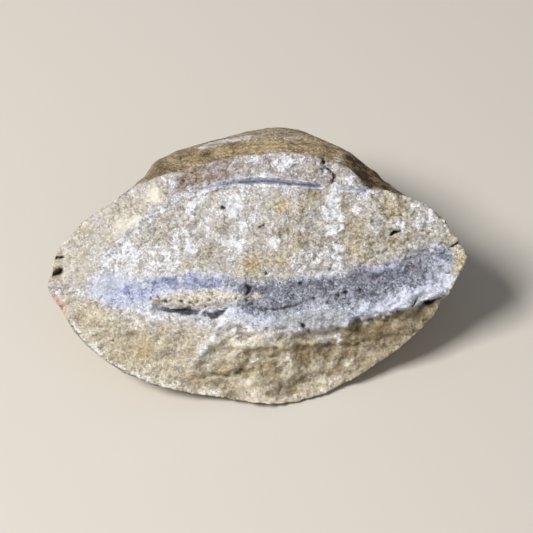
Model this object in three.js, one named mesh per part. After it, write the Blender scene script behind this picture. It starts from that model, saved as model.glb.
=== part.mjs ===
// A fossil bivalve, turned to stone and snapped across. It lies on its lower valve. The break is a
// leaning, lens-shaped face with a trough, ledges and a cap along its top. Behind it the two closed valves
// meet along a seam and end in a pair of low beaks. The whole fossil is one piece of stone: one solid.
//
// Units are millimetres and +Z is up. The origin is under the middle of the fossil, on the surface it lies
// on. A point of the break is given as (u, v): u to the right and v up the leaning face, from its centre.
import * as THREE from "three";

const { smoothstep, clamp, lerp, degToRad, radToDeg } = THREE.MathUtils;

// Driving dimensions
const FACE_LEAN = 50; // degrees from level to the way the break looks
const FACE_CENTRE = new THREE.Vector3(0, -11, 20.3);
const BACK_POLE = new THREE.Vector3(1, 27, 12.5); // where the meridians of the shell end, at the back
const FACE_CROWN = 2; // the break swells this far outwards
const FACE_PITCH = 1.15; // spacing of the vertices round the break
const FACE_RINGS = 28; // rings of them from its centre to its rim
const SHELL_PITCH = 2.1; // and the same for the shell, from the rim to the back pole
const SHELL_RINGS = 30;

// The rim of the break, counter-clockwise from the right tip
const RIM = [
  [40.4, 3.5], [38.6, 7.1], [36.6, 9.7], [34.6, 12.2], [29.6, 14.9], [25.6, 16.1], [20.9, 17.2], [17.4, 20.5],
  [12.9, 22.2], [5.2, 23.6], [-4.6, 22.6], [-11.2, 21.0], [-16.2, 19.8], [-23.0, 17.6], [-28.4, 13.9],
  [-31.9, 11.6], [-35.4, 8.3], [-38.6, 5.0], [-40.0, 1.0], [-40.3, -3.5], [-38.3, -6.2], [-35.4, -11.2],
  [-30.1, -16.2], [-25.5, -19.2], [-17.4, -22.0], [-4.6, -24.3], [5.2, -25.1], [13.9, -22.8], [21.4, -18.7],
  [29.6, -12.8], [34.2, -8.1], [36.6, -4.6], [38.6, -0.6],
];

// How far the girth of the shell swells out past the rim, by direction in degrees from the right tip
const SWELL = [
  [22, -1.2], [31, 1.1], [39, 4], [48, 3.7], [72, 4.8], [120, 4.7], [133, 4.4], [142, 1.3], [150, -0.8],
];
const SWELL_DEPTH = 12; // how far behind the rim this girth lies
const RIM_ASPECT = 0.375; // (height of the break over its length) squared
const GIRTH_SHARE = 0.28; // and the share of the way from the rim to the back pole at which it comes

// Features of the break: the line that each follows from left to right, how far it stands out or is sunk,
// and its span, as where it starts and ends and how softly
const TROUGH = [[-33, -2.9], [-18, -3.9], [-3.5, -3.9], [12, -2.5], [27.4, 0.8], [38.6, 3.5]];
const TROUGH_HALF_WIDTH = [[-33, 2.0], [-18, 3.2], [4, 4.2], [20, 5.2], [38, 5.0]];
const TROUGH_DEPTH = 1.7;
const TROUGH_SPAN = [-27, 36, 6];
const PATCH = [[-20.5, -4.9], [-2.5, -4.6]]; // a porous patch in the left half of the trough
const PATCH_HALF_WIDTH = 1.7;
const PATCH_HEIGHT = 1.1;
const PATCH_SPAN = [-20.5, -2.5, 1.5];
const CREVICE = [[-18.9, -6.2], [-11.6, -7.0], [-6.2, -7.0]]; // under the patch
const CREVICE_HALF_WIDTH = 1.3;
const CREVICE_DEPTH = 1.4;
const CREVICE_SPAN = [-18.9, -6.2, 2];
const CAP_EDGE = [
  [-33, -2.3], [-28.6, 3.9], [-23.8, 8.7], [-19.7, 12.2], [-13.3, 15.5], [-4.6, 17.7], [2.3, 18],
  [13.3, 17.3],
];
const CAP_HEIGHT = 1.0; // the cap is the strip above this edge
const CAP_END = [11.5, 14]; // where it falls away on the right
const BLOCK_HEIGHT = 1.0; // and the broken block beyond that, which is all above BLOCK_FOOT
const BLOCK_SPAN = [16.5, 19.5, 2.5];
const BLOCK_FOOT = [14.5, 17.5];
const UPPER_LEDGE = [[-2, -9.6], [8.1, -10.6], [14.9, -9.7], [20.7, -8.3], [26.5, -6.6], [36.3, -3.3]];
const UPPER_LEDGE_DROP = 2.6;
const LOWER_LEDGE = [
  [-20, -18.6], [-13.5, -19.5], [-8.9, -19.3], [-4.6, -18.4], [-1.8, -15.8], [4.8, -14.0], [8.1, -13.1],
  [16, -13.2], [24.5, -11.6],
];
const LOWER_LEDGE_DROP = 1.3;
const LOWER_LEDGE_SPAN = [-10, 22, 5];
const RIM_LEDGE = [[-3, -24.2], [3.3, -23.6], [9, -22.2], [14.5, -21.4], [18, -20.2], [22, -17.2]];
const RIM_LEDGE_RISE = 1.0;
const RIM_LEDGE_SPAN = [2, 20, 5];
const SPUR = [[-18.7, -12.6], [-14.9, -10.2], [-9.1, -5.0]]; // climbs between the ledges, as (v, u)
const SPUR_HALF_WIDTH = 1.4;
const SPUR_HEIGHT = 1.1;
const SPUR_SPAN = [-18, -10, 1.5];

// Where the growth steps of each valve are centred, and the seam between the valves
const UPPER_BEAK = new THREE.Vector3(4, 24, 22);
const LOWER_BEAK = new THREE.Vector3(3, 23, 4);
const BEAK_SIZE = 9;
const UPPER_BEAK_HEIGHT = 1.0;
const LOWER_BEAK_HEIGHT = 1.6;
const GROWTH_PITCH = 6.5;
const GROWTH_HEIGHT = 0.2;
const SEAM_HEIGHT = 21; // of the seam at the middle of the break
const SEAM_FALL = 0.24; // how much lower it is for each millimetre further back
const SEAM_BEND = 0.0015; // and for each square millimetre to the side
const SEAM_HALF_WIDTH = 1.5;
const SEAM_DEPTH = 1.2;
const DENT_SIZE = 7;
const DENT_DEPTH = 0.35;

const gauss = (x) => Math.exp(-x * x);

// 1 between two values and 0 well outside them
const between = (x, from, to, soft) => smoothstep(x, from - soft, from) * (1 - smoothstep(x, to, to + soft));

// The value at x of a line through the given points, straight or eased from each to the next
function along(points, x, ease = (t) => t) {
  let i = 1;
  while (i < points.length - 1 && points[i][0] < x) i++;
  const [[x0, y0], [x1, y1]] = [points[i - 1], points[i]];
  return lerp(y0, y1, ease(clamp((x - x0) / (x1 - x0), 0, 1)));
}
const easeInOut = (t) => t * t * (3 - 2 * t);

// A random number from 0 to 1 for each whole-numbered place
function chance(i, j, k) {
  const s = Math.sin(i * 127.1 + j * 311.7 + k * 74.7) * 43758.5453;
  return s - Math.floor(s);
}

// Smooth random lumps from -1 to 1, about one unit across
function lumps(x, y, z) {
  const [i, j, k] = [Math.floor(x), Math.floor(y), Math.floor(z)];
  const [a, b, c] = [x - i, y - j, z - k].map(easeInOut);
  const edge = (dj, dk) => lerp(chance(i, j + dj, k + dk), chance(i + 1, j + dj, k + dk), a);
  const side = (dk) => lerp(edge(0, dk), edge(1, dk), b);
  return 2 * lerp(side(0), side(1), c) - 1;
}

// The broad form of the break at (u, v), outwards: a low swell, with the lower part falling back, most at the
// right. share is 0 at the centre and 1 at the rim.
function breakForm(u, v, share) {
  return FACE_CROWN * (1 - share * share) - Math.max(0, -5 - v) * (0.12 + 0.1 * smoothstep(u, 0, 28));
}

// What stands out of that form or is sunk in it
function breakRelief(u, v) {
  const ragged = v + 0.7 * lumps(u / 3.5, 0.5, 7.5);
  const below = (line, soft) => 1 - smoothstep(ragged - along(line, u), -soft, soft);
  const on = (line, halfWidth) => gauss((v - along(line, u)) / halfWidth);
  let w = 0;

  w -= TROUGH_DEPTH * between(u, ...TROUGH_SPAN) * on(TROUGH, along(TROUGH_HALF_WIDTH, u));
  w += PATCH_HEIGHT * between(u, ...PATCH_SPAN) * on(PATCH, PATCH_HALF_WIDTH);
  w -= CREVICE_DEPTH * between(u, ...CREVICE_SPAN) * on(CREVICE, CREVICE_HALF_WIDTH);

  // Each ledge steps down or up below its line
  w -= UPPER_LEDGE_DROP * smoothstep(u, -2, 14) * below(UPPER_LEDGE, 1.3);
  w -= LOWER_LEDGE_DROP * between(u, ...LOWER_LEDGE_SPAN) * below(LOWER_LEDGE, 1.2);
  w += RIM_LEDGE_RISE * between(u, ...RIM_LEDGE_SPAN) * below(RIM_LEDGE, 1.0);
  w += SPUR_HEIGHT * between(v, ...SPUR_SPAN) * gauss((u - along(SPUR, v)) / SPUR_HALF_WIDTH);

  // The cap is highest in the middle, and ends on the right in the block
  const overCap = 1 - below(CAP_EDGE, 0.7);
  w += CAP_HEIGHT * overCap * (0.4 + 0.6 * smoothstep(u, -28, -6)) * (1 - smoothstep(u, ...CAP_END));
  w += BLOCK_HEIGHT * between(u, ...BLOCK_SPAN) * smoothstep(v, ...BLOCK_FOOT);

  return w + 0.45 * lumps(u / 6, v / 4, 1.5) + 0.3 * lumps(u / 2.6, v / 2.2, 4.5);
}

// Directions of the break
const lean = degToRad(FACE_LEAN);
const RIGHT = new THREE.Vector3(1, 0, 0);
const FACE_UP = new THREE.Vector3(0, Math.sin(lean), Math.cos(lean));
const INWARD = new THREE.Vector3(0, Math.cos(lean), -Math.sin(lean)); // from the break into the stone
const BACK = new THREE.Vector3(0, 1, 0);
const DOWN = new THREE.Vector3(0, 0, -1);

const rimPoints = RIM.map(([u, v]) => new THREE.Vector3(u, v, 0));
const rimCurve = new THREE.CatmullRomCurve3(rimPoints, true, "centripetal");
rimCurve.arcLengthDivisions = 2000;

const onFace = (u, v, out) =>
  FACE_CENTRE.clone().addScaledVector(RIGHT, u).addScaledVector(FACE_UP, v).addScaledVector(INWARD, -out);

function breakPoint(s, share) {
  const rim = rimCurve.getPointAt(s % 1);
  const [u, v] = [rim.x * share, rim.y * share];
  return onFace(u, v, breakForm(u, v, share) + breakRelief(u, v));
}

// The smooth shell: a meridian runs from each point of the rim (t = 0) over the girth to the pole (t = 1)
function smoothShell(s, t) {
  const rim = rimCurve.getPointAt(s % 1);
  const across = new THREE.Vector2(rim.x * RIM_ASPECT, rim.y).normalize(); // square to the rim, or nearly
  const outward = RIGHT.clone().multiplyScalar(across.x).addScaledVector(FACE_UP, across.y);
  const under = Math.max(0, -across.y); // 1 where the meridian starts at the foot of the break
  const swell = along(SWELL, radToDeg(Math.atan2(rim.y, rim.x)), easeInOut);
  const rearward = INWARD.clone().lerp(BACK, under).normalize();

  const start = breakPoint(s, 1);
  const girth = onFace(rim.x, rim.y, breakForm(rim.x, rim.y, 1));
  girth.addScaledVector(rearward, SWELL_DEPTH).addScaledVector(outward, swell);
  girth.addScaledVector(DOWN, 6 * under);
  const leaving = start.clone().addScaledVector(rearward, 4).addScaledVector(outward, 0.6 * swell);
  const reaching = girth.clone().addScaledVector(rearward, -5);
  const parting = girth.clone().addScaledVector(rearward, 10 + 4 * under).addScaledVector(DOWN, under);
  const closing = BACK_POLE.clone().add(new THREE.Vector3(30 * across.x, 0, 11 * across.y));
  const front = new THREE.CubicBezierCurve3(start, leaving, reaching, girth);
  const back = new THREE.CubicBezierCurve3(girth, parting, closing, BACK_POLE);
  if (t < GIRTH_SHARE) return front.getPoint(t / GIRTH_SHARE);
  return back.getPoint((t - GIRTH_SHARE) / (1 - GIRTH_SHARE));
}

// What stands out of the smooth shell: growth steps, the seam, the beaks and dents
function shellRelief(p) {
  const seam = SEAM_HEIGHT - SEAM_FALL * (p.y - FACE_CENTRE.y) - SEAM_BEND * p.x * p.x;
  const side = p.z - seam;
  const growth = p.distanceTo(side > 0 ? UPPER_BEAK : LOWER_BEAK) + 1.2 * lumps(p.x / 9, p.y / 9, p.z / 9);
  const steps = Math.cos((growth * 2 * Math.PI) / GROWTH_PITCH);
  let out = GROWTH_HEIGHT * steps * smoothstep(Math.abs(side), 0, 3);
  out -= SEAM_DEPTH * gauss(side / SEAM_HALF_WIDTH);
  out += UPPER_BEAK_HEIGHT * gauss(p.distanceTo(UPPER_BEAK) / BEAK_SIZE);
  out += LOWER_BEAK_HEIGHT * gauss(p.distanceTo(LOWER_BEAK) / BEAK_SIZE);
  return out + DENT_DEPTH * lumps(p.x / DENT_SIZE, p.y / DENT_SIZE, p.z / DENT_SIZE + 20);
}

function shellPoint(s, t) {
  const p = smoothShell(s, t);
  const step = 1e-3;
  const alongLoop = smoothShell(s + step, t).sub(p);
  const alongMeridian = smoothShell(s, t - step).sub(p);
  const away = t < 1 ? alongLoop.cross(alongMeridian).normalize() : BACK;
  return p.addScaledVector(away, shellRelief(p) * smoothstep(t, 0, 0.1)); // none at the rim
}

// Closed loops of points, from the middle of the break over the rim to the back pole
function makeLoops() {
  const loopOf = (count, pointAt) => Array.from({ length: count }, (_, i) => pointAt(i / count));
  const loops = [[breakPoint(0, 0)]];
  const rimLength = rimCurve.getLength();
  for (let k = 1; k <= FACE_RINGS; k++) {
    const share = k / FACE_RINGS;
    const count = Math.round((rimLength * share) / FACE_PITCH);
    loops.push(loopOf(Math.max(6, count), (s) => breakPoint(s, share)));
  }
  for (let k = 1; k < SHELL_RINGS; k++) {
    const t = k / SHELL_RINGS;
    const probe = loopOf(60, (s) => shellPoint(s, t));
    const length = probe.reduce((sum, p, i) => sum + p.distanceTo(probe[(i + 1) % probe.length]), 0);
    const pitch = lerp(FACE_PITCH, SHELL_PITCH, Math.min(1, k / 4)); // grows over the first four rings
    loops.push(loopOf(Math.max(6, Math.round(length / pitch)), (s) => shellPoint(s, t)));
  }
  loops.push([shellPoint(0, 1)]);
  return loops;
}

// Fills the strip between two neighbouring loops with triangles, going round both at once
function zip(a, b, faces) {
  const [stepsA, stepsB] = [a, b].map((loop) => (loop.length === 1 ? 0 : loop.length));
  let [i, j] = [0, 0];
  while (i < stepsA || j < stepsB) {
    const [pa, pb] = [a[i % a.length], b[j % b.length]];
    const stepOnA = j >= stepsB || (i < stepsA && (i + 0.5) / stepsA <= (j + 0.5) / stepsB);
    if (stepOnA) faces.push(pa, pb, a[++i % a.length]);
    else faces.push(pa, pb, b[++j % b.length]);
  }
}

function fossilGeometry() {
  const points = [];
  const faces = [];
  const numbered = makeLoops().map((loop) => loop.map((p) => points.push(p.setZ(Math.max(p.z, 0))) - 1));
  for (let k = 1; k < numbered.length; k++) zip(numbered[k - 1], numbered[k], faces);
  const geometry = new THREE.BufferGeometry().setFromPoints(points);
  geometry.setIndex(faces);
  geometry.computeVertexNormals();
  return geometry;
}

const stone = new THREE.MeshStandardMaterial({ color: 0xc3baa8, roughness: 0.9, metalness: 0 });
const fossil = new THREE.Mesh(fossilGeometry(), stone);
fossil.name = "fossil_mollusk";

const group = new THREE.Group();
group.add(fossil);
export default group;
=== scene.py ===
"""The looks of a fossil bivalve, snapped across. One dense mesh stands for the CAD solid: it has the same
form, made by the same rules, and adds the crystal grain, pits, cracks, frosting and growth lines."""
import itertools
import math
from types import SimpleNamespace

import bpy
import numpy as np
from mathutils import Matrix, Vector


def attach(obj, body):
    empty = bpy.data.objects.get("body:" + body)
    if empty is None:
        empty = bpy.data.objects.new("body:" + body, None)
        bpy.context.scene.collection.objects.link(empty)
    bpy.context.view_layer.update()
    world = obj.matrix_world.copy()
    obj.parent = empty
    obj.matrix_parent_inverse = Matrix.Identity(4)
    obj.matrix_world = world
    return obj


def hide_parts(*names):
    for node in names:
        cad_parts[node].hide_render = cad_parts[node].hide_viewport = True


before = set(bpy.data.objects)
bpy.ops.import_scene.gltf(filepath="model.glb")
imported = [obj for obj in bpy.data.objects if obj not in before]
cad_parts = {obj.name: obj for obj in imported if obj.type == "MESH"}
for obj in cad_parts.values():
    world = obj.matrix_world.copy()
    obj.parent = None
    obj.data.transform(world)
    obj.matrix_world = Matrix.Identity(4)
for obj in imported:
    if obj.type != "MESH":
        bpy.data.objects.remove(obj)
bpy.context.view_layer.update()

MM = 0.001
NODE = "fossil_mollusk"

# ---- numbers shared with the part's source; lengths are in mm
# A point of the break is given as (u, v): u to the right and v up the leaning face, from its centre.
FACE_LEAN = math.radians(50)
FACE_CENTRE = np.array([0, -11, 20.3])
BACK_POLE = np.array([1, 27, 12.5])
FACE_CROWN = 2
RIM = np.array([
    (40.4, 3.5), (38.6, 7.1), (36.6, 9.7), (34.6, 12.2), (29.6, 14.9), (25.6, 16.1), (20.9, 17.2),
    (17.4, 20.5), (12.9, 22.2), (5.2, 23.6), (-4.6, 22.6), (-11.2, 21), (-16.2, 19.8), (-23, 17.6),
    (-28.4, 13.9), (-31.9, 11.6), (-35.4, 8.3), (-38.6, 5), (-40, 1), (-40.3, -3.5), (-38.3, -6.2),
    (-35.4, -11.2), (-30.1, -16.2), (-25.5, -19.2), (-17.4, -22), (-4.6, -24.3), (5.2, -25.1),
    (13.9, -22.8), (21.4, -18.7), (29.6, -12.8), (34.2, -8.1), (36.6, -4.6), (38.6, -0.6),
])
SWELL = [(22, -1.2), (31, 1.1), (39, 4), (48, 3.7), (72, 4.8), (120, 4.7), (133, 4.4), (142, 1.3),
         (150, -0.8)]
SWELL_DEPTH = 12
RIM_ASPECT = 0.375
GIRTH_SHARE = 0.28
GIRTH_SINK = 6  # the girth lies this much lower under the foot of the break
RIM_HANDLE = 4  # how long the handles of the shell's curves are where they leave the rim,
GIRTH_HANDLES = (5, 10)  # before and after the girth,
FOOT_HANDLE = 4  # and after it under the foot of the break, where they are longer by this
POLE_WIDTH = 30  # how broadly,
POLE_HEIGHT = 11  # and how high, the shell closes at the back pole
TROUGH = [(-33, -2.9), (-18, -3.9), (-3.5, -3.9), (12, -2.5), (27.4, 0.8), (38.6, 3.5)]
TROUGH_HALF_WIDTH = [(-33, 2), (-18, 3.2), (4, 4.2), (20, 5.2), (38, 5)]
TROUGH_DEPTH = 1.7
TROUGH_SPAN = (-27, 36, 6)
PATCH = [(-20.5, -4.9), (-2.5, -4.6)]
PATCH_HALF_WIDTH = 1.7
PATCH_HEIGHT = 1.1
PATCH_SPAN = (-20.5, -2.5, 1.5)
CREVICE = [(-18.9, -6.2), (-11.6, -7), (-6.2, -7)]
CREVICE_HALF_WIDTH = 1.3
CREVICE_DEPTH = 1.4
CREVICE_SPAN = (-18.9, -6.2, 2)
CAP_EDGE = [(-33, -2.3), (-28.6, 3.9), (-23.8, 8.7), (-19.7, 12.2), (-13.3, 15.5), (-4.6, 17.7), (2.3, 18),
            (13.3, 17.3)]
CAP_HEIGHT = 1.0
CAP_END = (11.5, 14)
BLOCK_HEIGHT = 1.0
BLOCK_SPAN = (16.5, 19.5, 2.5)
BLOCK_FOOT = (14.5, 17.5)
UPPER_LEDGE = [(-2, -9.6), (8.1, -10.6), (14.9, -9.7), (20.7, -8.3), (26.5, -6.6), (36.3, -3.3)]
UPPER_LEDGE_DROP = 2.6
UPPER_LEDGE_START = (-2, 14)
UPPER_LEDGE_SOFT = 1.3
LOWER_LEDGE = [(-20, -18.6), (-13.5, -19.5), (-8.9, -19.3), (-4.6, -18.4), (-1.8, -15.8), (4.8, -14),
               (8.1, -13.1), (16, -13.2), (24.5, -11.6)]
LOWER_LEDGE_DROP = 1.3
LOWER_LEDGE_SPAN = (-10, 22, 5)
LOWER_LEDGE_SOFT = 1.2
RIM_LEDGE = [(-3, -24.2), (3.3, -23.6), (9, -22.2), (14.5, -21.4), (18, -20.2), (22, -17.2)]
RIM_LEDGE_RISE = 1.0
RIM_LEDGE_SPAN = (2, 20, 5)
SPUR = [(-18.7, -12.6), (-14.9, -10.2), (-9.1, -5)]  # as (v, u)
SPUR_HALF_WIDTH = 1.4
SPUR_HEIGHT = 1.1
SPUR_SPAN = (-18, -10, 1.5)
UPPER_BEAK = np.array([4, 24, 22])
LOWER_BEAK = np.array([3, 23, 4])
BEAK_SIZE = 9
UPPER_BEAK_HEIGHT = 1.0
LOWER_BEAK_HEIGHT = 1.6
GROWTH_PITCH = 6.5
GROWTH_HEIGHT = 0.2
SEAM_HEIGHT = 21
SEAM_FALL = 0.24
SEAM_BEND = 0.0015
SEAM_HALF_WIDTH = 1.5
SEAM_DEPTH = 1.2
DENT_SIZE = 7
DENT_DEPTH = 0.35

# ---- numbers of the dense mesh and its noise; lengths are in mm
FACE_PITCH = 0.27
FACE_RINGS = 112
SHELL_PITCH = 0.43
SHELL_RINGS = 142
SHELL_CROWDING = 1.25  # above 1, the rings of the shell lie closer together near the rim
CENTRE_SHARE = 1e-6  # the middle of the break and the back pole are only nearly reached,
POLE_SHARE = 0.9999  # because no direction is defined right at them
SEED_STEP = 31.7  # how far apart the noise of one seed lies from the next
OCTAVE_WEIGHT = 0.55  # each octave of noise is this much weaker than the one before,
OCTAVE_RATIO = 1.9  # this much finer,
OCTAVE_SHIFT = 5.3  # and shifted and turned from it
OCTAVE_TURN = np.array([[0.36, 0.48, -0.8], [-0.8, 0.6, 0], [0.48, 0.64, 0.6]])
OCTAVE_SUM = 1.6  # about what the octaves come to together
GRAIN_EDGE = 1.6  # how steeply a crystal grain falls off at its edge


# ---- curves and noise
def ease(t):
    return t * t * (3 - 2 * t)


def rise(x, low, high):
    """Climbs smoothly from 0 at low to 1 at high."""
    return ease(np.clip((x - low) / (high - low), 0, 1))


def fall(x, low, high):
    return 1 - rise(x, low, high)


def gauss(x):
    return np.exp(-x * x)


def between(x, low, high, soft):
    """1 between two values and 0 well outside them."""
    return rise(x, low - soft, low) * fall(x, high, high + soft)


def along(points, x):
    """The value at x of a straight-sided line through the points."""
    xs, ys = zip(*points)
    return np.interp(x, xs, ys)


def along_eased(points, x):
    """The same, eased from each point to the next."""
    xs, ys = map(np.array, zip(*points))
    i = np.clip(np.searchsorted(xs, x), 1, len(xs) - 1)
    t = np.clip((x - xs[i - 1]) / (xs[i] - xs[i - 1]), 0, 1)
    return ys[i - 1] + (ys[i] - ys[i - 1]) * ease(t)


def mix(a, b, t):
    return a + (b - a) * t


def chance(i, j, k):
    """A random number from 0 to 1 for each whole-numbered place."""
    s = np.sin(i * 127.1 + j * 311.7 + k * 74.7) * 43758.5453
    return s - np.floor(s)


def lumps(x, y, z):
    """Smooth random lumps from -1 to 1, about one unit across."""
    x, y, z = np.broadcast_arrays(x, y, z)
    i, j, k = np.floor(x), np.floor(y), np.floor(z)
    a, b, c = ease(x - i), ease(y - j), ease(z - k)

    def edge(dj, dk):
        return mix(chance(i, j + dj, k + dk), chance(i + 1, j + dj, k + dk), a)

    def side(dk):
        return mix(edge(0, dk), edge(1, dk), b)

    return 2 * mix(side(0), side(1), c) - 1


def fractal(p, size, octaves, seed):
    """Lumps of the given size in mm with ever smaller ones on them, from about -1 to 1."""
    total = 0
    weight = 1
    q = p / size + seed * SEED_STEP
    for _ in range(octaves):
        total = total + weight * lumps(*q.T)
        weight *= OCTAVE_WEIGHT
        q = OCTAVE_RATIO * q @ OCTAVE_TURN.T + OCTAVE_SHIFT
    return total / OCTAVE_SUM


def cells(p, size, seed):
    """Crystal grains of the given size in mm: how near each point is to the middle of its grain (1 there and
    0 at the edge), the grain's own random number, and the height of its slanting face in mm."""
    q = p / size + seed * SEED_STEP
    base = np.floor(q)
    first = np.full(len(q), np.inf)
    second = np.full(len(q), np.inf)
    own = np.zeros(len(q))
    face = np.zeros(len(q))
    for step in itertools.product((-1, 0, 1), repeat=3):
        spot = base + step
        jitter = np.stack([chance(*(spot + shift).T) for shift in (0, 37, 91)], axis=1)
        offset = q - spot - jitter
        distance = np.linalg.norm(offset, axis=1)
        nearer = distance < first
        second = np.where(nearer, first, np.minimum(second, distance))
        first = np.where(nearer, distance, first)
        own = np.where(nearer, chance(*(spot + 13).T), own)
        face = np.where(nearer, size * (offset * (2 * jitter - 1)).sum(axis=1), face)
    return np.clip((second - first) * GRAIN_EDGE, 0, 1), own, face


def grain(crystals, bulge, height, slant):
    """The relief in mm of such grains: how far each bulges, stands out and slants."""
    middle, own, face = crystals
    return bulge * (middle - 0.5) + height * (own - 0.5) + slant * face


def reach(line, u, v):
    """The distance in mm from each point of the break to a line drawn on it, and how far along the line the
    nearest place is, from 0 to 1."""
    best = np.full(np.shape(u), np.inf)
    share = np.zeros(np.shape(u))
    for i, ((u0, v0), (u1, v1)) in enumerate(zip(line, line[1:])):
        du, dv = u1 - u0, v1 - v0
        t = np.clip(((u - u0) * du + (v - v0) * dv) / (du * du + dv * dv), 0, 1)
        distance = np.hypot(u - u0 - t * du, v - v0 - t * dv)
        share = np.where(distance < best, (i + t) / (len(line) - 1), share)
        best = np.minimum(best, distance)
    return best, share


def streak(line, half_width, u, v):
    """1 on a line drawn on the break and 0 well away from it."""
    return gauss(reach(line, u, v)[0] / half_width)


def blot(u, v, radius):
    """1 where u and v are 0, and 0 well outside the radius."""
    return gauss(np.hypot(u, v) / radius)


def blots(spots, u, v):
    return sum(strength * blot(u - x, v - y, radius) for x, y, radius, strength in spots)


def in_plane(u, v):
    return np.stack([u, v, 0 * u], axis=1)


# ---- the break, as in the part's source
def break_form(u, v, share):
    return FACE_CROWN * (1 - share**2) - np.maximum(0, -5 - v) * (0.12 + 0.1 * rise(u, 0, 28))


def upper_drop(u):
    return UPPER_LEDGE_DROP * rise(u, *UPPER_LEDGE_START)


def lower_drop(u):
    return LOWER_LEDGE_DROP * between(u, *LOWER_LEDGE_SPAN)


def on_spur(u, v):
    return between(v, *SPUR_SPAN) * gauss((u - along(SPUR, v)) / SPUR_HALF_WIDTH)


def break_relief(u, v):
    ragged = v + 0.7 * lumps(u / 3.5, 0.5, 7.5)

    def below(line, soft):
        return fall(ragged - along(line, u), -soft, soft)

    def on(line, half_width):
        return gauss((v - along(line, u)) / half_width)

    w = -TROUGH_DEPTH * between(u, *TROUGH_SPAN) * on(TROUGH, along(TROUGH_HALF_WIDTH, u))
    w += PATCH_HEIGHT * between(u, *PATCH_SPAN) * on(PATCH, PATCH_HALF_WIDTH)
    w -= CREVICE_DEPTH * between(u, *CREVICE_SPAN) * on(CREVICE, CREVICE_HALF_WIDTH)
    w -= upper_drop(u) * below(UPPER_LEDGE, UPPER_LEDGE_SOFT)
    w -= lower_drop(u) * below(LOWER_LEDGE, LOWER_LEDGE_SOFT)
    w += RIM_LEDGE_RISE * between(u, *RIM_LEDGE_SPAN) * below(RIM_LEDGE, 1)
    w += SPUR_HEIGHT * on_spur(u, v)
    over_cap = 1 - below(CAP_EDGE, 0.7)
    w += CAP_HEIGHT * over_cap * (0.4 + 0.6 * rise(u, -28, -6)) * fall(u, *CAP_END)
    w += BLOCK_HEIGHT * between(u, *BLOCK_SPAN) * rise(v, *BLOCK_FOOT)
    return w + 0.45 * lumps(u / 6, v / 4, 1.5) + 0.3 * lumps(u / 2.6, v / 2.2, 4.5)


# ---- places of the markings of the break, in mm
# The outlines run from left to right. A span is where a thing starts and ends, and how softly.
BLUE_TOP = [(-34, -1.5), (-31, 0.2), (-26, 0.3), (-22.8, -0.9), (-19.5, -0.4), (-15.5, 0.2), (-7, 0.2),
            (-4, -0.8), (0.8, -1.4), (7, -0.4), (15.5, 0.3), (20, 1), (25.5, 2.4), (29.4, 4.4), (31.3, 5.2),
            (35.2, 6), (39, 6.2)]
BLUE_FOOT = [(-34, -3), (-31, -4.6), (-24.2, -6.6), (-11.6, -8.2), (-5.6, -8.6), (0, -9.8), (8.1, -10.6),
             (15, -9.7), (21, -8.3), (26.5, -6.7), (31, -5.6), (34.4, -4.8), (36.8, -3), (39.5, 1)]
BLUE_SPAN = (-31.5, 36, 3)
AZURE_TOP = [(-28, -2.4), (-25, -1.8), (-23.5, -1.8), (-21.8, -1.4), (-18.9, -0.8), (-16, -0.2),
             (-14.1, 0.3), (-11.2, 0.3), (-7.1, -0.9), (-5, -1.5)]
AZURE_FOOT = [(-28, -5.4), (-25, -6.4), (-22.4, -6), (-20.9, -4.2), (-18.9, -3.1), (-12.2, -3.1),
              (-10.2, -2.7), (-7.1, -2), (-5, -2.2)]
AZURE_SPAN = (-27, -8, 3)
AZURE_STREAK = [(20.5, 0.8), (24.5, 1.4), (28.5, 0.2)]
PATCH_TOP = [(-22, -4.8), (-19.3, -3.9), (-17, -3.3), (-13.1, -3), (-11.2, -2.7), (-7.3, -2.8), (-4, -3.4)]
PATCH_FOOT = [(-22, -5.3), (-18, -6.1), (-15, -6.5), (-11.6, -6.5), (-7.1, -6.3), (-4, -5.2)]
PATCH_ENDS = (-19.5, -6.5, 1.5)
PATCH_TAIL_HEIGHT = -4.3  # where the patch runs on to the right as a thin tail
PATCH_TAIL_SPAN = (-8, 0, 1)
SLATE_TOP = [(-6, -1), (0.8, -1.6), (7.7, -0.5), (13.9, 0.2), (17.8, 1.2), (24, 1.2), (31.3, 2.9), (38, 4.6)]
SLATE_FOOT = [(-6, -5.5), (-3, -8.4), (1, -8.8), (4.3, -7.8), (12, -6.4), (18.2, -5.8), (23.6, -4.9),
              (28, -3.6), (34, -0.9), (38, 1.5)]
SLATE_SPAN = (-3, 31, 5)
SLATE_NECK_SPAN = (-6.5, 0, 1.5)
SLATE_STREAK = [(24.5, 0.8), (28.5, 2.4), (32, 4), (36.5, 4.2)]
STRIP = [(-33, -2.3), (-28.6, 3.9), (-23.8, 8.7), (-19.7, 12.4), (-13.3, 15.8), (-8, 17.4), (-4.6, 18),
         (2.3, 18.2), (8, 17.6), (12.6, 17.1)]
FAR_STRIP = [(14.6, 17), (17.5, 16.5), (21, 16.6)]
CAP_SPAN = (-14, 13, 7)
BLOCK_TOP_SPAN = (14.8, 21.5, 0.8)
DUSK_SPAN = (-14.5, -6, 2)
PINK_SPAN = (-1, 12, 4)
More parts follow.
